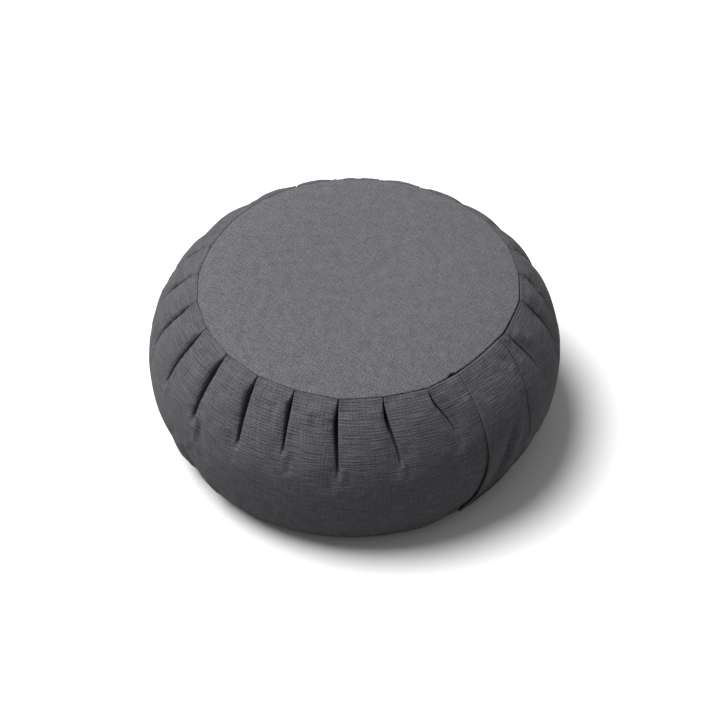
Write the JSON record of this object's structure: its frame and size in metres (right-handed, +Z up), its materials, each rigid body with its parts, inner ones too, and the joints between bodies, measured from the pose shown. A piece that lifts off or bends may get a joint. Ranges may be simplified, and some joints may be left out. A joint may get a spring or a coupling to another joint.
{
  "type": "zafu meditation cushion",
  "caption": "Round, filled floor cushion for sitting in meditation, with a pleated side band, crowned top panel and overlapping closing flap.",
  "frame": {"origin": "middle of the underside, on the surface the cushion stands on", "axes": "+Z up through the middle of the top panel, -Y towards the front, +X towards the side of the closing flap"},
  "size_m": [0.3572, 0.3628, 0.161],
  "materials": {
    "band_cloth": "charcoal-grey plain-weave slub cloth with a linen look, matt",
    "panel_cloth": "the same charcoal-grey plain-weave slub cloth, laid flat, matt"
  },
  "bodies": {
    "root": {"side_band": "band_cloth", "top_panel": "panel_cloth", "bottom_panel": "panel_cloth", "closing_flap": "band_cloth"}
  },
  "joints": []
}
